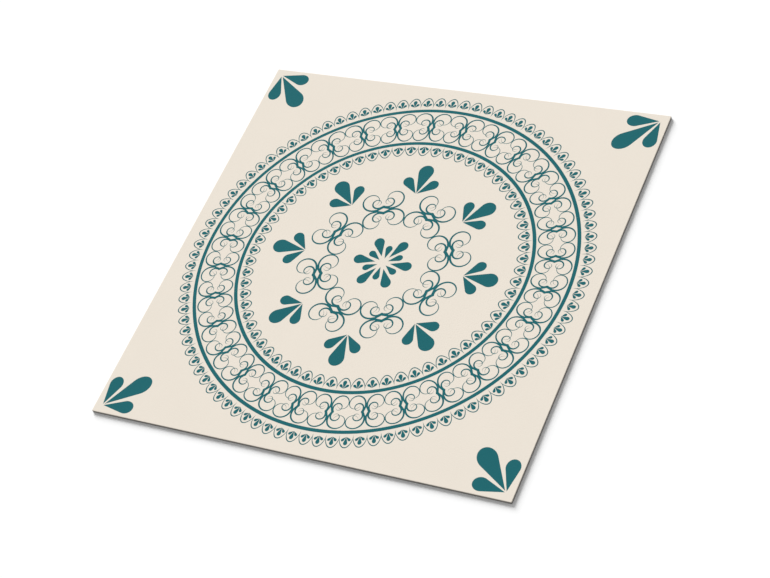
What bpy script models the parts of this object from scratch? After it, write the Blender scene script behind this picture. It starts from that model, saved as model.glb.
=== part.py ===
"""Vinyl floor tile, 12 in square: one solid sheet, die-cut, with its wear edge eased.

Frame: metres, +Z up. The origin is the middle of the back face, which lies on z = 0.
+Z points out of the printed face, +X to the tile's right and +Y to its top.
"""

import bmesh
import bpy
from mathutils import Vector

# Driving dimensions, in metres.
TILE_SIDE = 0.3048         # 12 in nominal module, edge to edge, both ways
TILE_THICKNESS = 0.0020    # wear layer, print and filled backing, fused into one sheet
CORNER_RADIUS = 0.0006     # plan radius that the cutting die leaves at each corner
EASED_EDGE = 0.0003        # radius rolled along the printed face's edges

# Facets of the two small radii.
CORNER_SEGMENTS = 6
EASED_SEGMENTS = 4

# Two heights or plan places closer than this are the same one.
SAME_PLACE = 1e-6

# Adjoining faces that meet at less than this angle, in radians, shade as one round.
SMOOTH_ANGLE = 0.6

# The cream ground of the printed face: linear RGB, with a matte plastic surface.
GROUND_COLOUR = (0.8388, 0.7682, 0.6724, 1.0)
GROUND_ROUGHNESS = 0.5
GROUND_METALLIC = 0.0


def clear_scene():
    """Removes every object that the file starts with."""
    for item in list(bpy.data.objects):
        bpy.data.objects.remove(item, do_unlink=True)


def make_vinyl_material():
    """Matte plastic in the colour of the tile's cream ground."""
    material = bpy.data.materials.new("vinyl")
    material.use_nodes = True
    shader = material.node_tree.nodes["Principled BSDF"]
    shader.inputs["Base Color"].default_value = GROUND_COLOUR
    shader.inputs["Roughness"].default_value = GROUND_ROUGHNESS
    shader.inputs["Metallic"].default_value = GROUND_METALLIC
    return material


def is_upright(edge):
    """True for an edge that runs straight up, as the sheet's four corners do."""
    run = edge.verts[1].co - edge.verts[0].co
    return run.xy.length < SAME_PLACE


def is_at_height(edge, height):
    """True for an edge that lies level at the given height."""
    return all(abs(vertex.co.z - height) < SAME_PLACE for vertex in edge.verts)


def round_edges(mesh, edges, radius, segments):
    """Rolls a circular fillet along the given edges."""
    bmesh.ops.bevel(
        mesh,
        geom=edges,
        offset=radius,
        offset_type="OFFSET",
        segments=segments,
        profile=0.5,
        affect="EDGES",
        clamp_overlap=True,
    )


def make_tile():
    """The sheet: a square slab, its corners rounded in plan, then its upper rim eased."""
    mesh = bmesh.new()
    bmesh.ops.create_cube(mesh, size=1.0)
    bmesh.ops.scale(mesh, vec=Vector((TILE_SIDE, TILE_SIDE, TILE_THICKNESS)), verts=mesh.verts)
    bmesh.ops.translate(mesh, vec=Vector((0.0, 0.0, TILE_THICKNESS / 2)), verts=mesh.verts)

    corners = [edge for edge in mesh.edges if is_upright(edge)]
    round_edges(mesh, corners, CORNER_RADIUS, CORNER_SEGMENTS)

    upper_rim = [edge for edge in mesh.edges if is_at_height(edge, TILE_THICKNESS)]
    round_edges(mesh, upper_rim, EASED_EDGE, EASED_SEGMENTS)

    data = bpy.data.meshes.new("vinyl_tile")
    mesh.to_mesh(data)
    mesh.free()
    data.shade_smooth()
    data.set_sharp_from_angle(angle=SMOOTH_ANGLE)
    data.materials.append(make_vinyl_material())

    tile = bpy.data.objects.new("vinyl_tile", data)
    bpy.context.scene.collection.objects.link(tile)
    return tile


clear_scene()
make_tile()
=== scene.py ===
"""Vinyl floor tile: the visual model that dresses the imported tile, with a plain stage round it.

Lengths are in metres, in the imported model's frame. The origin is the middle of the back face, +Z points
out of the printed face, +X to its right and +Y to its top. The tile is one fused sheet: its upper skin,
a clear wear layer over the printed film, and the filled vinyl backing below it are a mesh each.
"""

import math

import bmesh
import bpy
from mathutils import Matrix, Vector


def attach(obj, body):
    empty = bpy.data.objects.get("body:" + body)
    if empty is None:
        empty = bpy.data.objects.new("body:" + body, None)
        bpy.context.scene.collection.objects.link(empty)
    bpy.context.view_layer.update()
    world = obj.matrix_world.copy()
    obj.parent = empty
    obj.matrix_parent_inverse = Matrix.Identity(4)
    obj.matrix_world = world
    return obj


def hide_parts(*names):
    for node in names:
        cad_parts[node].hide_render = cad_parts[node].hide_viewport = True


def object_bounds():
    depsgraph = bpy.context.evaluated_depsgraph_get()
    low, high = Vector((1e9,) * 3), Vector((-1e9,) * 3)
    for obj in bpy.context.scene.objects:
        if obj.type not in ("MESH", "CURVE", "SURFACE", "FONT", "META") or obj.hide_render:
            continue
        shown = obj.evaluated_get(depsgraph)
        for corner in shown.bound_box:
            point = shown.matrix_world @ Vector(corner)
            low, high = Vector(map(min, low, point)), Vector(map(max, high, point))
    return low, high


bl_info = {
    "name": "Vinyl Floor Tile",
    "version": (1, 0, 0),
    "blender": (4, 5, 0),
    "location": "View3D > Sidebar > Vinyl Tile",
    "description": "Builds a vinyl floor tile with a printed scrollwork medallion, and a stage for it",
    "category": "Object",
}

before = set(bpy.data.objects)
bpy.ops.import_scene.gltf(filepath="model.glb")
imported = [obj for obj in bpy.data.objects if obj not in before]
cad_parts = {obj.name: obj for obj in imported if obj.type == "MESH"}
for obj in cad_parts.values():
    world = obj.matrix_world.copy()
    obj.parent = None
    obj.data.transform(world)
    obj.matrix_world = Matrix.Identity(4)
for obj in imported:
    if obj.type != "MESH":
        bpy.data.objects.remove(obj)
CAD_LOW, CAD_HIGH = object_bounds()

CAD_NODE = "vinyl_tile"
BODY = "root"
SENSOR_WIDTH = 36.0
SIDE_COUNT = 4

# Facets of the small radii, and the angle up to which neighbouring facets shade as one round. Edges that
# turn by more than the cut angle lose their bite. The flat faces' weight keeps them flat beside the rounds.
CORNER_FACETS = 8
RIM_FACETS = 5
CUT_FACETS = 2
SMOOTH_ANGLE = math.radians(40)
CUT_ANGLE = math.radians(60)
FLAT_WEIGHT = 100

# An edge is upright if it rises by more than this share of its length, and level edges lie at a height
# within this distance. A face belongs to the front or the back if its normal's rise passes the level one.
UPRIGHT_SHARE = 0.9
SAME_HEIGHT = 1e-6
LEVEL_RISE = 0.2

# The map that the colours are baked on. The seen face nearly fills it, and the rest lies in a strip
# beside it.
BAKE_MAP = "OFBake"
MAP_MARGIN = 0.004
FACE_SHARE = 0.945
STRIP_LEFT = 0.957
STRIP_STEP = 0.0105
STRIP_WIDTH = 0.0075
HIDDEN_SHARE = 0.03

# The fine patterns in the finishes: how large each is, in metres, and how finely it is broken up. A pace
# draws a pattern out along the axes where it is less than the others.
DRIFT = {"size": 0.03, "detail": 3.0}
DOTS = {"size": 0.0004, "detail": 1.0}
GRAIN = {"size": 0.00025, "detail": 1.0}
SCUFFS = {"size": 0.02, "detail": 4.0, "pace": (1.0, 4.0, 1.0)}
PEBBLE_SIZE = 0.0008
WEAR_LINES = {"size": 0.0003, "detail": 2.0, "pace": (1.0, 1.0, 0.1)}
DRAG_LINES = {"size": 0.0005, "detail": 3.0, "pace": (1.0, 1.0, 0.12)}
CHALK_SPECKS = {"size": 0.00018, "detail": 1.0}
SCRATCHES = {"size": 0.0007, "detail": 3.0, "pace": (0.05, 1.0, 1.0)}
BACK_PATCHES = {"size": 0.025, "detail": 4.0}
BACK_SPECKS = {"size": 0.0006, "detail": 2.0}

# How far the patterns change each finish. A tone multiplies the colour and varies round 1, and a roughness
# varies round its own level, each with every pattern by the share given. A relief is a share of the main
# pattern's height, which stands for the depth, in metres.
GROUND_TONE = {"drift": 0.03, "dots": 0.03}
INK_TONE = {"drift": 0.15, "dots": 0.25}
FILM_ROUGHENING = {"scuffs": 0.12, "pebbles": 0.08}
GRAIN_RELIEF = 0.35

WEAR_EDGE_TONE = {"lines": 0.2}
WEAR_EDGE_ROUGHNESS = 0.45
WEAR_EDGE_ROUGHENING = {"lines": 0.2}
WEAR_EDGE_DEPTH = 0.00001

BACKING_EDGE_TONE = {"lines": 0.35, "specks": 0.5}
BACKING_EDGE_ROUGHNESS = 0.7
BACKING_EDGE_ROUGHENING = {"specks": 0.2}
CHALK_RELIEF = 0.3
BACKING_EDGE_DEPTH = 0.00003

BACK_TONE = {"scratches": 0.3, "patches": 0.25, "specks": 0.3}
BACK_ROUGHNESS = 0.775
BACK_ROUGHENING = {"specks": 0.15, "patches": 0.1}
BACK_SPECK_RELIEF = 0.5
BACK_DEPTH = 0.00004

# The stage: the floor's own grey, and what the camera sees it as, which is white outside the shadow.
WHITE = (1.0, 1.0, 1.0, 1.0)
FLOOR_GREY = (0.8, 0.8, 0.8, 1.0)
FLOOR_SEEN = (1.03, 1.03, 1.03, 1.0)

# The print. Its lengths are shares of half the tile's side, so that it grows with the tile.
RING_RADII = (0.871, 0.6764)
RING_HALF_WIDTH = 0.0083

# A petal runs from its tip to the middle of its round end, which are both (across, along) its motif.
# The radius is the round end's, and the stretch draws the petal out lengthwise.
SPRAY_COUNT = 8
SPRAY_PETALS = (
    {"tip": (0.0, 0.393), "end": (0.0, 0.5145), "radius": 0.0357, "stretch": 1.07},
    {"tip": (0.002, 0.39), "end": (0.0612, 0.4492), "radius": 0.0249, "stretch": 1.075},
)
CORNER_PETALS = (
    {"tip": (0.0, 1.3525), "end": (0.0, 1.1757), "radius": 0.0428, "stretch": 1.268},
    {"tip": (0.0036, 1.358), "end": (0.0727, 1.2713), "radius": 0.032, "stretch": 1.148},
)
FLOWER_COUNT = 6
FLOWER_LARGE = {"tip": (0.0, 0.036), "end": (0.0, 0.116), "radius": 0.0238, "stretch": 1.072}
FLOWER_SMALL = {"tip": (0.0, 0.023), "end": (0.0, 0.0757), "radius": 0.0158, "stretch": 1.088}

# The scroll motif, in its own size: a lozenge along its first axis, and two curls in each of its quarters.
# The lozenge's line is given as half its width at the pointed corner and at the flat one. The stroke is half
# a curl's width near its start: the curl opens to it over a short turn, and then thins to nothing.
LOZENGE_HALF = (0.0329, 0.0165)
LOZENGE_LINE = (0.0042, 0.0067)
STROKE = 0.0045
STROKE_OPENS_OVER = math.radians(14)
LARGE_CURL = {
    "centre": (0.0448, 0.0526),
    "radius": 0.0398,
    "winding": 0.12,
    "flare": 0.03,
    "flare_from": math.radians(-63),
    "start": math.radians(-120),
    "thinning": math.radians(391),
}
SMALL_CURL = {
    "centre": (0.0235, 0.0387),
    "radius": 0.0209,
    "winding": 0.1265,
    "flare": 0.015,
    "flare_from": math.radians(-57),
    "start": math.radians(-136),
    "thinning": math.radians(413),
}

# The wreath inside the rings turns the motif's lozenge along the circle. The band between them stands it
# on end and bends it, so that distances round the circle are those at the bend's radius.
WREATH_COUNT = 8
WREATH_RADIUS = 0.299
WREATH_SCALE = 1.119
BAND_COUNT = 30
BAND_RADIUS = 0.774
BAND_SCALE = 0.943
BAND_BEND = 0.789

# The lace: an arch with a sprig of three petals in it, repeated along the outside and the inside of the
# rings. Its line is given as half its width at the arch's foot and at its top. The arch is the upper part of
# an ellipse whose middle lies the drop below the foot. Where two arches meet, a slim petal makes their tail.
LACE_PETALS = (
    {"tip": (0.0, -0.008), "end": (0.0, 0.022), "radius": 0.009, "stretch": 1.155},
    {"tip": (0.0008, -0.0076), "end": (0.0143, 0.0064), "radius": 0.0064, "stretch": 1.21},
)
ARCH_HEIGHT = 0.044
ARCH_DROP = 0.038
LACE_LINE = (0.0011, 0.0024)
LACE_TAIL = {"tip": (0.0, -0.0162), "end": (0.0, 0.0022), "radius": 0.0016, "stretch": 1.0}
LACE_RUNS = (
    {"count": 94, "first": 0.0, "foot": 0.9017, "bend": 0.92, "outward": 1.0},
    {"count": 65, "first": math.radians(90), "foot": 0.6503, "bend": 0.63, "outward": -1.0},
)


class Wire:
    """One number in a shader. Python's operators on it add the Math nodes that they stand for."""

    def __init__(self, shading, socket):
        self.shading = shading
        self.socket = socket

    def maths(self, operation, *others):
        """A Math node that takes this number first."""
        return self.shading.maths(operation, self, *others)

    def __add__(self, other):
        return self if is_plain(other, 0) else self.maths("ADD", other)

    __radd__ = __add__

    def __sub__(self, other):
        return self if is_plain(other, 0) else self.maths("SUBTRACT", other)

    def __rsub__(self, other):
        return self.shading.maths("SUBTRACT", other, self)

    def __mul__(self, other):
        if is_plain(other, 0):
            return 0.0
        return self if is_plain(other, 1) else self.maths("MULTIPLY", other)

    __rmul__ = __mul__

    def __truediv__(self, other):
        return self.maths("DIVIDE", other)

    def __abs__(self):
        return self.maths("ABSOLUTE")


class Shading:
    """The nodes of one material or world, each added after those that it reads."""

    def __init__(self, owner):
        owner.use_nodes = True
        self.tree = owner.node_tree
        self.tree.nodes.clear()

    def add(self, kind, settings=None, values=None, output=0):
        """Adds a node: its settings first, then the value or link of each socket. Returns one output."""
        node = self.tree.nodes.new(kind)
        for name, setting in (settings or {}).items():
            setattr(node, name, setting)
        for name, value in (values or {}).items():
            if isinstance(value, Wire):
                self.tree.links.new(value.socket, node.inputs[name])
            else:
                node.inputs[name].default_value = value
        return Wire(self, node.outputs[output]) if node.outputs else None

    def maths(self, operation, *values):
        """A Math node on numbers, links or both."""
        return self.add("ShaderNodeMath", {"operation": operation}, dict(enumerate(values)))

    def point(self):
        """The place on the object, as a vector."""
        return self.add("ShaderNodeTexCoord", output="Object")

    def part(self, vector, axis):
        """One of a vector's three numbers."""
        return self.add("ShaderNodeSeparateXYZ", values={0: vector}, output=axis)

    def vector(self, x, y, z=0.0):
        """Three numbers as one vector."""
        return self.add("ShaderNodeCombineXYZ", values={0: x, 1: y, 2: z})

    def noise(self, point, size, detail, pace=None):
        """Soft random patches of about this size in metres, from 0 to 1, drawn out if a pace is given."""
        if pace:
            point = self.add("ShaderNodeVectorMath", {"operation": "MULTIPLY"}, {0: point, 1: pace})
        values = {"Vector": point, "Scale": 1.0 / size, "Detail": detail}
        return self.add("ShaderNodeTexNoise", {"noise_dimensions": "3D"}, values)

    def pebbles(self, point, size):
        """Rounded cells of about this size in metres: 0 in their middles and nearly 1 between them."""
        values = {"Vector": point, "Scale": 1.0 / size, "Smoothness": 1.0}
        return self.add("ShaderNodeTexVoronoi", {"feature": "SMOOTH_F1"}, values)

    def brightened(self, colour, by):
        """A colour times a number."""
        return self.add("ShaderNodeVectorMath", {"operation": "SCALE"}, {0: colour, "Scale": by})

    def blend(self, share, first, second):
        """A colour between two others."""
        return self.add("ShaderNodeMix", {"data_type": "RGBA"}, {0: share, 6: first, 7: second}, 2)

    def relief(self, height, depth):
        """A normal that follows a height from 0 to 1, where 1 stands for the depth in metres."""
        return self.add("ShaderNodeBump", values={"Height": height, "Distance": depth})

    def finish(self, **values):
        """Ends a material in a Principled shader with these values on its sockets."""
        sockets = {name.replace("_", " "): value for name, value in values.items()}
        shader = self.add("ShaderNodeBsdfPrincipled", values=sockets)
        self.add("ShaderNodeOutputMaterial", values={"Surface": shader})


def is_plain(value, number):
    """True if the value is this very number, and not a link."""
    return not isinstance(value, Wire) and value == number


def maximum(first, *others):
    """The greatest of some numbers in a shader."""
    for other in others:
        first = first.maths("MAXIMUM", other)
    return first


def minimum(first, *others):
    """The least of some numbers in a shader."""
    for other in others:
        first = first.maths("MINIMUM", other)
    return first


def held(value):
    """A number held between 0 and 1."""
    return value.shading.add("ShaderNodeClamp", values={0: value})


def reach(x, y):
    """The straight distance that x across and y along make."""
    line = x.shading.vector(x, y)
    return x.shading.add("ShaderNodeVectorMath", {"operation": "LENGTH"}, {0: line}, "Value")


def varied(level, shares, **patterns):
    """A level that each pattern lowers and raises by its share. The patterns run from 0 to 1."""
    for name, pattern in patterns.items():
        level = (pattern - 0.5) * shares[name] + level
    return level


def folded(angle, count, first=0.0):
    """The angle from the nearest of a number of spokes, the first of which stands at the angle given."""
    return (angle - first).maths("PINGPONG", math.pi / count)


def polar(angle, radius):
    """The place (across, along) of a point at this angle from a spoke."""
    return radius * angle.maths("SINE"), radius * angle.maths("COSINE")


def petal(across, along, tip, end, radius, stretch):
    """How far inside a petal a point lies. Its sides run straight from the tip to the round end."""
    length = math.dist(tip, end)
    lean = ((end[0] - tip[0]) / length, (end[1] - tip[1]) / length)
    sine = radius * stretch / length
    cosine = math.sqrt(1 - sine * sine)
    ahead = along - tip[1]
    run = across * (lean[0] / stretch) + ahead * (lean[1] / stretch) - tip[0] * lean[0] / stretch
    aside = across if lean[0] == 0 else abs((across - tip[0]) * lean[1] - ahead * lean[0])
    wedge = run * sine - aside * cosine
    shoulder = length * cosine / stretch - run * cosine - aside * sine
    round_end = radius - reach(run - length / stretch, aside)
    return maximum(minimum(wedge, shoulder), round_end)


def petals(across, along, group):
    """How far inside any of a group of petals a point lies."""
    return maximum(*(petal(across, along, **one) for one in group))


def curl(x, y, centre, radius, winding, flare, flare_from, start, thinning):
    """How far inside a pen stroke a point lies.

    The stroke winds in round its centre and thins as it goes. Its end goes on past a full turn, so that it
    lies inside its first part.
    """
    full_turn = 2 * math.pi
    dx = x - centre[0]
    dy = y - centre[1]
    away = reach(dx, dy)
    cut = start - STROKE_OPENS_OVER
    turn = dy.maths("ARCTAN2", dx).maths("WRAP", cut + full_turn, cut)
    opening = maximum(flare_from - turn, 0.0)
    spiral = (math.log(radius) - turn * winding).maths("EXPONENT")
    opened = (turn - start) * (STROKE / STROKE_OPENS_OVER)
    thinned = (start + thinning - turn) * (STROKE / thinning)
    first_part = minimum(opened, thinned) - abs(away - spiral * (opening * opening * flare + 1))
    spiral_end = spiral * math.exp(-full_turn * winding)
    last_part = thinned - STROKE * full_turn / thinning - abs(away - spiral_end)
    return maximum(first_part, last_part)


def lozenge(x, y):
    """How far inside the lozenge's line a point of one quarter lies."""
    width, height = LOZENGE_HALF
    length = math.hypot(width, height)
    thin, thick = LOZENGE_LINE
    run = minimum(maximum((width - x) * (width / length) + y * (height / length), 0.0), length)
    nearest = (width - run * (width / length), run * (height / length))
    return run * ((thick - thin) / length) + thin - reach(x - nearest[0], y - nearest[1])


def scroll(x, y):
    """How far inside the ink of one quarter of the scroll motif a point lies."""
    return maximum(curl(x, y, **LARGE_CURL), curl(x, y, **SMALL_CURL), lozenge(x, y))


def wreath(angle, radius):
    """The scrolls inside the rings. The large curls of neighbours cross, so a neighbour's is drawn too."""
    nearest = folded(angle, WREATH_COUNT, math.pi / WREATH_COUNT)
    across, along = polar(nearest, radius)
    ink = scroll(across / WREATH_SCALE, abs(along - WREATH_RADIUS) / WREATH_SCALE)
    across, along = polar(2 * math.pi / WREATH_COUNT - nearest, radius)
    crossing = curl(across / WREATH_SCALE, abs(along - WREATH_RADIUS) / WREATH_SCALE, **LARGE_CURL)
    return maximum(ink, crossing) * WREATH_SCALE


def band(angle, radius):
    """The bent scrolls between the rings."""
    across = folded(angle, BAND_COUNT) * (BAND_BEND / BAND_SCALE)
    along = abs(radius - BAND_RADIUS) / BAND_SCALE
    return scroll(along, across) * BAND_SCALE


def lace(angle, radius, count, first, foot, bend, outward):
    """A run of arches on thin tails, each with a sprig in it."""
    across = folded(angle, count, first) * bend
    along = (radius - foot) * outward
    sprig = petals(across, along, LACE_PETALS)

    half_pitch = math.pi / count * bend
    rise = ARCH_HEIGHT + ARCH_DROP
    spread = half_pitch / math.sqrt(1 - (ARCH_DROP / rise) ** 2)
    up = along + ARCH_DROP
    slope = reach(across / spread**2, up / rise**2)
    thin, thick = LACE_LINE
    line = along * ((thick - thin) / ARCH_HEIGHT) + thin
    arch = minimum(line - abs(reach(across / spread, up / rise) - 1) / slope, along + thin)

    tail = petal(half_pitch - across, along, **LACE_TAIL)
    return maximum(sprig, arch, tail)


def ornament(x, y):
    """How far inside the ink a point of the face lies, in shares of half the tile's side."""
    radius = reach(x, y)
    angle = y.maths("ARCTAN2", x)
    ink = maximum(*(RING_HALF_WIDTH - abs(radius - ring) for ring in RING_RADII))
    ink = maximum(ink, petals(*polar(folded(angle, SPRAY_COUNT), radius), SPRAY_PETALS))
    from_corner = folded(angle, SIDE_COUNT, math.pi / SIDE_COUNT)
    ink = maximum(ink, petals(*polar(from_corner, radius), CORNER_PETALS))
    ink = maximum(ink, petal(*polar(folded(angle, FLOWER_COUNT), radius), **FLOWER_LARGE))
    between = folded(angle, FLOWER_COUNT, math.pi / FLOWER_COUNT)
    ink = maximum(ink, petal(*polar(between, radius), **FLOWER_SMALL))
    ink = maximum(ink, wreath(angle, radius))
    ink = maximum(ink, band(angle, radius))
    for run in LACE_RUNS:
        ink = maximum(ink, lace(angle, radius, **run))
    return ink


def printed_film(sizes, finish):
    """Cream film printed in teal, under a matte wear layer with a fine pebbled emboss."""
    material = bpy.data.materials.new("printed_film")
    shading = Shading(material)
    half_side = sizes.side / 2
    place = shading.point()
    x = shading.part(place, "X") / half_side
    y = shading.part(place, "Y") / half_side
    inked = held(ornament(x, y) * (half_side / finish.ink_edge) + 0.5)

    drift = shading.noise(place, **DRIFT)
    dots = shading.noise(place, **DOTS)
    ground_tone = varied(1, GROUND_TONE, drift=drift, dots=dots)
    ink_tone = varied(1, INK_TONE, drift=drift, dots=dots)
    ground = shading.brightened(finish.ground_colour, ground_tone)
    ink = shading.brightened(finish.ink_colour, ink_tone)

    pebbles = shading.pebbles(place, PEBBLE_SIZE)
    grain = shading.noise(place, **GRAIN)
    scuffs = shading.noise(place, **SCUFFS)
    shading.finish(
        Base_Color=shading.blend(inked, ground, ink),
        Roughness=varied(finish.roughness, FILM_ROUGHENING, scuffs=scuffs, pebbles=pebbles),
        Specular_IOR_Level=finish.gloss,
        Normal=shading.relief(grain * GRAIN_RELIEF - pebbles, finish.emboss_depth),
    )
    return material


def cut_wear_layer(finish):
    """The cut edge of the clear layer over the film: milky, with faint upright lines from the die."""
    material = bpy.data.materials.new("cut_wear_layer")
    shading = Shading(material)
    place = shading.point()
    lines = shading.noise(place, **WEAR_LINES)
    tone = varied(1, WEAR_EDGE_TONE, lines=lines)
    shading.finish(
        Base_Color=shading.brightened(finish.wear_edge_colour, tone),
        Roughness=varied(WEAR_EDGE_ROUGHNESS, WEAR_EDGE_ROUGHENING, lines=lines),
        Specular_IOR_Level=finish.gloss,
        Normal=shading.relief(lines, WEAR_EDGE_DEPTH),
    )
    return material


def cut_backing(finish):
    """The cut edge of the filled vinyl: chalky specks, and upright lines where the die dragged."""
    material = bpy.data.materials.new("cut_backing")
    shading = Shading(material)
    place = shading.point()
    lines = shading.noise(place, **DRAG_LINES)
    specks = shading.noise(place, **CHALK_SPECKS)
    tone = varied(1, BACKING_EDGE_TONE, lines=lines, specks=specks)
    shading.finish(
        Base_Color=shading.brightened(finish.backing_colour, tone),
        Roughness=varied(BACKING_EDGE_ROUGHNESS, BACKING_EDGE_ROUGHENING, specks=specks),
        Specular_IOR_Level=finish.gloss,
        Normal=shading.relief(lines + specks * CHALK_RELIEF, BACKING_EDGE_DEPTH),
    )
    return material


def sanded_back(finish):
    """The back face: filled vinyl, sanded across so that the adhesive keys to it."""
    material = bpy.data.materials.new("sanded_back")
    shading = Shading(material)
    place = shading.point()
    scratches = shading.noise(place, **SCRATCHES)
    patches = shading.noise(place, **BACK_PATCHES)
    specks = shading.noise(place, **BACK_SPECKS)
    tone = varied(1, BACK_TONE, scratches=scratches, patches=patches, specks=specks)
    shading.finish(
        Base_Color=shading.brightened(finish.backing_colour, tone),
        Roughness=varied(BACK_ROUGHNESS, BACK_ROUGHENING, specks=specks, patches=patches),
        Specular_IOR_Level=finish.gloss,
        Normal=shading.relief(scratches + specks * BACK_SPECK_RELIEF, BACK_DEPTH),
    )
    return material


def add_block(name, side, low, high):
    """A square block from one height to another, made the only selected object."""
    bpy.ops.object.select_all(action="DESELECT")
    bpy.ops.mesh.primitive_cube_add(
        size=1.0,
        calc_uvs=False,
        location=(0.0, 0.0, (low + high) / 2),
        scale=(side, side, high - low),
    )
    block = bpy.context.object
    block.name = name
    block.data.name = name
    bpy.ops.object.transform_apply(location=True, rotation=True, scale=True)
    return block


def pick_edges(test):
    """Selects only the edges of the mesh in edit mode that pass the test."""
    data = bpy.context.object.data
    bpy.ops.mesh.select_mode(type="EDGE")
    bpy.ops.mesh.select_all(action="DESELECT")
    mesh = bmesh.from_edit_mesh(data)
    for edge in mesh.edges:
        if test(edge):
            edge.select_set(True)
    bmesh.update_edit_mesh(data)


def is_upright(edge):
    """True for an edge that runs straight up."""
    run = edge.verts[1].co - edge.verts[0].co
    return abs(run.z) > UPRIGHT_SHARE * run.length


def at_height(height):
    """A test for edges that lie level at this height."""
    return lambda edge: all(abs(vertex.co.z - height) < SAME_HEIGHT for vertex in edge.verts)


def round_picked(radius, facets):
    """Rolls a round along the selected edges."""
    bpy.ops.mesh.bevel(
        offset=radius, offset_type="OFFSET", segments=facets, profile=0.5, affect="EDGES"
    )


def apply_modifier(piece, kind, **settings):
    """Adds a modifier to the piece and applies it."""
    bpy.ops.object.modifier_add(type=kind)
    modifier = piece.modifiers[-1]
    for name, setting in settings.items():
        setattr(modifier, name, setting)
    bpy.ops.object.modifier_apply(modifier=modifier.name)


def put_in_order(piece):
    """Sorts the mesh by place, because the corners of a bevel come in another order from run to run."""
    mesh = bmesh.new()
    mesh.from_mesh(piece.data)
    vertices = sorted(mesh.verts, key=lambda vertex: tuple(vertex.co))
    faces = sorted(mesh.faces, key=lambda face: tuple(face.calc_center_median()))
    mesh.verts.sort(key=vertices.index)
    mesh.faces.sort(key=faces.index)
    mesh.to_mesh(piece.data)
    mesh.free()


def ease_and_smooth(piece, radius):
    """Takes the bite off the piece's cut edges, and shades its rounds smooth and its flats flat."""
    apply_modifier(
        piece,
        "BEVEL",
        width=radius,
        segments=CUT_FACETS,
        limit_method="ANGLE",
        angle_limit=CUT_ANGLE,
    )
    put_in_order(piece)
    bpy.ops.object.shade_smooth_by_angle(angle=SMOOTH_ANGLE)
    apply_modifier(piece, "WEIGHTED_NORMAL", keep_sharp=True, weight=FLAT_WEIGHT)


def side_of(normal):
    """The number of the side that a normal faces: 0 for +X, then on anticlockwise."""
    return round(math.atan2(normal.y, normal.x) * SIDE_COUNT / (2 * math.pi)) % SIDE_COUNT


def map_spot(co, normal, seen, side, low, high):
    """Where a point of a face goes on the bake's map.

    The face that shows most fills the square, the one behind it is small in the strip's top, and the cut
    sides are upright bands in the strip. Seen is 1 if the face that shows most looks up, and -1 if down.
    """
    across = co.x / side + 0.5
    along = co.y / side + 0.5
    level = (co.z - low) / (high - low)
    if normal.z * seen > LEVEL_RISE:
        return MAP_MARGIN + across * FACE_SHARE, MAP_MARGIN + along * FACE_SHARE
    if normal.z * seen < -LEVEL_RISE:
        start = MAP_MARGIN + FACE_SHARE + MAP_MARGIN
        return STRIP_LEFT + across * HIDDEN_SHARE, start + along * HIDDEN_SHARE
    number = side_of(normal)
    run = along if number % 2 == 0 else across
    strip = STRIP_LEFT + number * STRIP_STEP
    return strip + level * STRIP_WIDTH, MAP_MARGIN + run * FACE_SHARE


def lay_out_map(piece, seen, side, low, high):
    """Gives the piece the map that its colours are baked on."""
    layer = piece.data.uv_layers.new(name=BAKE_MAP)
    for face in piece.data.polygons:
        for corner in face.loop_indices:
            co = piece.data.vertices[piece.data.loops[corner].vertex_index].co
            layer.uv[corner].vector = map_spot(co, face.normal, seen, side, low, high)


def dress(piece, face_material, edge_material, seen):
    """Puts one material on the face seen with its rim, and the other on the cut sides."""
    piece.data.materials.append(face_material)
    piece.data.materials.append(edge_material)
    for face in piece.data.polygons:
        face.material_index = 0 if face.normal.z * seen > LEVEL_RISE else 1


def join_tile(piece):
    """Makes the piece part of the tile: it rides on the tile's body and stands for its solid."""
    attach(piece, BODY)
    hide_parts(CAD_NODE)


class TileSizes(bpy.types.PropertyGroup):
    """The tile's sizes."""

    side: bpy.props.FloatProperty(
        name="Side",
        description="Length of each side of the square tile",
        default=CAD_HIGH.x - CAD_LOW.x,
        precision=4,
        unit="LENGTH",
        subtype="DISTANCE",
    )
    thickness: bpy.props.FloatProperty(
        name="Thickness",
        description="Thickness of the whole sheet",
        default=CAD_HIGH.z - CAD_LOW.z,
        precision=4,
        unit="LENGTH",
        subtype="DISTANCE",
    )
    skin: bpy.props.FloatProperty(
        name="Wear Layer",
        description="Thickness of the clear wear layer with the printed film",
        default=0.0004,
        precision=5,
        unit="LENGTH",
        subtype="DISTANCE",
    )
    corner_radius: bpy.props.FloatProperty(
        name="Corner Radius",
        description="Radius that the cutting die leaves at each corner",
        default=0.0006,
        precision=5,
        unit="LENGTH",
        subtype="DISTANCE",
    )
    eased_edge: bpy.props.FloatProperty(
        name="Eased Edge",
        description="Radius rolled along the printed face's edges",
        default=0.0003,
        precision=5,
        unit="LENGTH",
        subtype="DISTANCE",
    )
    cut_edge: bpy.props.FloatProperty(
        name="Cut Edge",
        description="Radius left on the other cut edges, which also draws the line between the layers",
        default=0.00004,
        precision=5,
        unit="LENGTH",
        subtype="DISTANCE",
    )


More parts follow.
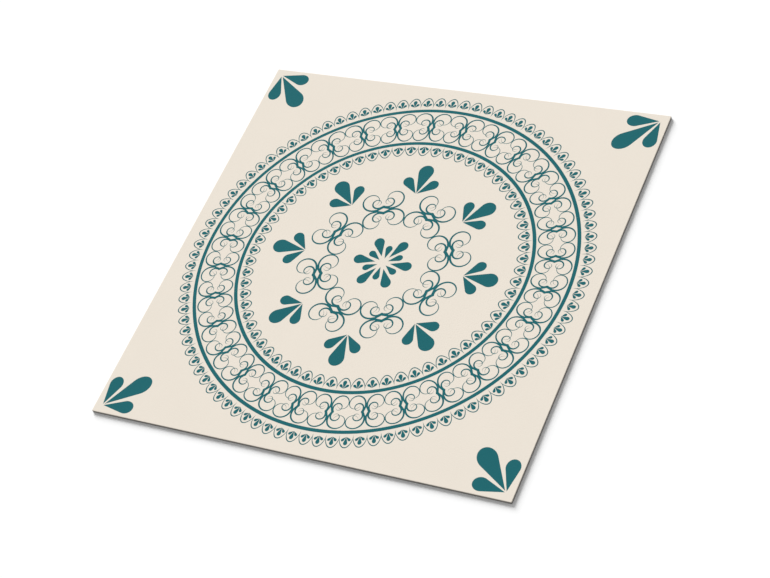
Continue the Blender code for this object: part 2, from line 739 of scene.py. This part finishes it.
class TileFinish(bpy.types.PropertyGroup):
    """The tile's colours and surface."""

    ground_colour: bpy.props.FloatVectorProperty(
        name="Ground",
        description="Colour of the film under the print",
        default=(0.8388, 0.7682, 0.6724),
        min=0.0,
        max=1.0,
        subtype="COLOR",
    )
    ink_colour: bpy.props.FloatVectorProperty(
        name="Ink",
        description="Colour of the printed ornament",
        default=(0.01, 0.124, 0.142),
        min=0.0,
        max=1.0,
        subtype="COLOR",
    )
    wear_edge_colour: bpy.props.FloatVectorProperty(
        name="Wear Layer Edge",
        description="Colour of the wear layer where it is cut",
        default=(0.50, 0.47, 0.42),
        min=0.0,
        max=1.0,
        subtype="COLOR",
    )
    backing_colour: bpy.props.FloatVectorProperty(
        name="Backing",
        description="Colour of the filled vinyl backing",
        default=(0.25, 0.238, 0.222),
        min=0.0,
        max=1.0,
        subtype="COLOR",
    )
    ink_edge: bpy.props.FloatProperty(
        name="Ink Edge",
        description="How far the ink's edge takes from none to full",
        default=0.00007,
        precision=5,
        unit="LENGTH",
        subtype="DISTANCE",
    )
    emboss_depth: bpy.props.FloatProperty(
        name="Emboss Depth",
        description="Depth of the pebbled grain pressed into the wear layer",
        default=0.00003,
        precision=6,
        unit="LENGTH",
        subtype="DISTANCE",
    )
    roughness: bpy.props.FloatProperty(
        name="Roughness",
        description="Roughness of the wear layer",
        default=0.54,
        min=0.0,
        max=1.0,
        subtype="FACTOR",
    )
    gloss: bpy.props.FloatProperty(
        name="Gloss",
        description="How strongly the surfaces mirror light, where a half is plain plastic",
        default=0.2,
        min=0.0,
        max=1.0,
        subtype="FACTOR",
    )


class StageSettings(bpy.types.PropertyGroup):
    """The camera, the light and the floor."""

    focal_length: bpy.props.FloatProperty(
        name="Focal Length",
        description="Focal length of the camera, in millimetres",
        default=93.0,
        unit="CAMERA",
    )
    distance: bpy.props.FloatProperty(
        name="Distance",
        description="How far the camera stands from the point that it looks at",
        default=1.3039,
        unit="LENGTH",
        subtype="DISTANCE",
    )
    aim: bpy.props.FloatVectorProperty(
        name="Aim",
        description="The point that the camera looks at",
        default=(0.01046, -0.02003, 0.002),
        unit="LENGTH",
        subtype="TRANSLATION",
    )
    azimuth: bpy.props.FloatProperty(
        name="Azimuth",
        description="How far round the camera stands, from the tile's bottom edge towards its right one",
        default=math.radians(43.123),
        unit="ROTATION",
        subtype="ANGLE",
    )
    elevation: bpy.props.FloatProperty(
        name="Elevation",
        description="How high the camera stands",
        default=math.radians(49.058),
        unit="ROTATION",
        subtype="ANGLE",
    )
    roll: bpy.props.FloatProperty(
        name="Roll",
        description="How far the camera is turned about its line of sight",
        default=math.radians(-25.512),
        unit="ROTATION",
        subtype="ANGLE",
    )
    lamp_azimuth: bpy.props.FloatProperty(
        name="Lamp Azimuth",
        description="How far round the lamp stands, from the tile's bottom edge towards its right one",
        default=math.radians(227.0),
        unit="ROTATION",
        subtype="ANGLE",
    )
    lamp_elevation: bpy.props.FloatProperty(
        name="Lamp Elevation",
        description="How high the main lamp stands",
        default=math.radians(22.0),
        unit="ROTATION",
        subtype="ANGLE",
    )
    lamp_softness: bpy.props.FloatProperty(
        name="Lamp Softness",
        description="How wide the main lamp looks from the tile",
        default=math.radians(30.0),
        unit="ROTATION",
        subtype="ANGLE",
    )
    fill: bpy.props.FloatProperty(
        name="Fill",
        description="Share of the light that comes from all round, and not from the main lamp",
        default=0.37,
        min=0.0,
        max=1.0,
        subtype="FACTOR",
    )
    floor_size: bpy.props.FloatProperty(
        name="Floor Size",
        description="Length of each side of the floor",
        default=12.0,
        unit="LENGTH",
        subtype="DISTANCE",
    )


class VINYL_TILE_OT_printed_skin(bpy.types.Operator):
    """Adds the wear layer with its printed film, eased along its upper edges"""

    bl_idname = "vinyl_tile.printed_skin"
    bl_label = "Printed Skin"
    bl_options = {"REGISTER", "UNDO"}

    def execute(self, context):
        sizes = context.scene.vinyl_tile_sizes
        finish = context.scene.vinyl_tile_finish
        low = sizes.thickness - sizes.skin
        high = sizes.thickness
        skin = add_block("printed_skin", sizes.side, low, high)
        bpy.ops.object.mode_set(mode="EDIT")
        pick_edges(is_upright)
        round_picked(sizes.corner_radius, CORNER_FACETS)
        pick_edges(at_height(high))
        round_picked(sizes.eased_edge, RIM_FACETS)
        bpy.ops.object.mode_set(mode="OBJECT")
        ease_and_smooth(skin, sizes.cut_edge)
        lay_out_map(skin, 1, sizes.side, low, high)
        dress(skin, printed_film(sizes, finish), cut_wear_layer(finish), 1)
        join_tile(skin)
        return {"FINISHED"}


class VINYL_TILE_OT_filled_backing(bpy.types.Operator):
    """Adds the filled vinyl backing under the skin, with its sanded back"""

    bl_idname = "vinyl_tile.filled_backing"
    bl_label = "Filled Backing"
    bl_options = {"REGISTER", "UNDO"}

    def execute(self, context):
        sizes = context.scene.vinyl_tile_sizes
        finish = context.scene.vinyl_tile_finish
        high = sizes.thickness - sizes.skin
        backing = add_block("filled_backing", sizes.side, 0.0, high)
        bpy.ops.object.mode_set(mode="EDIT")
        pick_edges(is_upright)
        round_picked(sizes.corner_radius, CORNER_FACETS)
        bpy.ops.object.mode_set(mode="OBJECT")
        ease_and_smooth(backing, sizes.cut_edge)
        lay_out_map(backing, -1, sizes.side, 0.0, high)
        dress(backing, sanded_back(finish), cut_backing(finish), -1)
        join_tile(backing)
        return {"FINISHED"}


def direction(azimuth, elevation):
    """The way from the tile to something at this azimuth and elevation."""
    level = math.cos(elevation)
    return Vector((math.sin(azimuth) * level, -math.cos(azimuth) * level, math.sin(elevation)))


def behind_the_object(shading):
    """1 for the rays that show what lies behind the tile, and 0 for those that light it."""
    rays = ("Is Camera Ray", "Is Glossy Ray", "Is Transmission Ray")
    return maximum(*(shading.add("ShaderNodeLightPath", output=ray) for ray in rays))


def add_camera(stage):
    """Adds the camera that looks at the tile as the photograph does."""
    towards = direction(stage.azimuth, stage.elevation)
    turn = towards.to_track_quat("Z", "Y").to_matrix() @ Matrix.Rotation(stage.roll, 3, "Z")
    bpy.ops.object.select_all(action="DESELECT")
    bpy.ops.object.camera_add(
        location=Vector(stage.aim) + towards * stage.distance, rotation=turn.to_euler()
    )
    camera = bpy.context.object
    camera.name = "camera"
    camera.data.sensor_width = SENSOR_WIDTH
    camera.data.lens = stage.focal_length
    bpy.context.scene.camera = camera


def add_floor(stage, opening):
    """Adds the pale floor. Seen by the camera it is white, with the tile's shadow on it.

    It is open beneath the tile and clear from below, so that the tile's back can be looked at.
    """
    bpy.ops.object.select_all(action="DESELECT")
    bpy.ops.mesh.primitive_plane_add(size=stage.floor_size, calc_uvs=False, location=(0.0, 0.0, 0.0))
    floor = bpy.context.object
    floor.name = "floor"
    bpy.ops.object.mode_set(mode="EDIT")
    bpy.ops.mesh.inset(thickness=(stage.floor_size - opening) / 2)
    bpy.ops.mesh.delete(type="FACE")
    bpy.ops.object.mode_set(mode="OBJECT")

    material = bpy.data.materials.new("pale_floor")
    shading = Shading(material)
    colour = shading.blend(behind_the_object(shading), FLOOR_GREY, FLOOR_SEEN)
    paint = shading.add("ShaderNodeBsdfDiffuse", values={"Color": colour})
    clear = shading.add("ShaderNodeBsdfTransparent")
    from_below = shading.add("ShaderNodeNewGeometry", output="Backfacing")
    surface = shading.add("ShaderNodeMixShader", values={0: from_below, 1: paint, 2: clear})
    shading.add("ShaderNodeOutputMaterial", values={"Surface": surface})
    floor.data.materials.append(material)


def add_lamp(stage):
    """Adds the broad lamp, low beyond the tile's upper left corner, and sets how strong it is."""
    towards = direction(stage.lamp_azimuth, stage.lamp_elevation)
    bpy.ops.object.select_all(action="DESELECT")
    bpy.ops.object.light_add(type="SUN", rotation=towards.to_track_quat("Z", "Y").to_euler())
    lamp = bpy.context.object
    lamp.name = "main_lamp"
    lamp.data.angle = stage.lamp_softness
    lamp.visible_glossy = False
    lamp.data.energy = (1 - stage.fill) * math.pi / math.sin(stage.lamp_elevation)


def light_all_round(stage):
    """Lights the tile evenly from all sides, before a white background."""
    world = bpy.data.worlds.new("studio")
    bpy.context.scene.world = world
    shading = Shading(world)
    strength = behind_the_object(shading) * (1 - stage.fill) + stage.fill
    glow = shading.add("ShaderNodeBackground", values={"Color": WHITE, "Strength": strength})
    shading.add("ShaderNodeOutputWorld", values={"Surface": glow})


class VINYL_TILE_OT_stage(bpy.types.Operator):
    """Adds the camera, the pale floor and the soft light"""

    bl_idname = "vinyl_tile.stage"
    bl_label = "Stage"
    bl_options = {"REGISTER", "UNDO"}

    def execute(self, context):
        stage = context.scene.vinyl_tile_stage
        sizes = context.scene.vinyl_tile_sizes
        add_camera(stage)
        add_floor(stage, sizes.side - 2 * sizes.corner_radius)
        add_lamp(stage)
        light_all_round(stage)
        context.scene.view_settings.view_transform = "Standard"
        return {"FINISHED"}


class VINYL_TILE_PT_panel(bpy.types.Panel):
    """Lists the tile's pieces and their settings"""

    bl_idname = "VINYL_TILE_PT_panel"
    bl_label = "Vinyl Tile"
    bl_space_type = "VIEW_3D"
    bl_region_type = "UI"
    bl_category = "Vinyl Tile"

    def draw(self, context):
        for group in GROUPS:
            settings = getattr(context.scene, group)
            box = self.layout.box()
            for name in settings.bl_rna.properties.keys():
                if name not in ("rna_type", "name"):
                    box.prop(settings, name)
        for operator in OPERATORS:
            self.layout.operator(operator.bl_idname)


GROUPS = {
    "vinyl_tile_sizes": TileSizes,
    "vinyl_tile_finish": TileFinish,
    "vinyl_tile_stage": StageSettings,
}
OPERATORS = (VINYL_TILE_OT_printed_skin, VINYL_TILE_OT_filled_backing, VINYL_TILE_OT_stage)


def register():
    """Registers the settings, the operators and the panel."""
    for name, group in GROUPS.items():
        bpy.utils.register_class(group)
        setattr(bpy.types.Scene, name, bpy.props.PointerProperty(type=group))
    for operator in OPERATORS:
        bpy.utils.register_class(operator)
    bpy.utils.register_class(VINYL_TILE_PT_panel)


def unregister():
    """Takes back what register did."""
    bpy.utils.unregister_class(VINYL_TILE_PT_panel)
    for operator in reversed(OPERATORS):
        bpy.utils.unregister_class(operator)
    for name, group in reversed(GROUPS.items()):
        delattr(bpy.types.Scene, name)
        bpy.utils.unregister_class(group)


def main():
    """Builds the tile and its stage."""
    register()
    bpy.ops.vinyl_tile.printed_skin()
    bpy.ops.vinyl_tile.filled_backing()
    bpy.ops.vinyl_tile.stage()


if __name__ == "__main__":
    main()
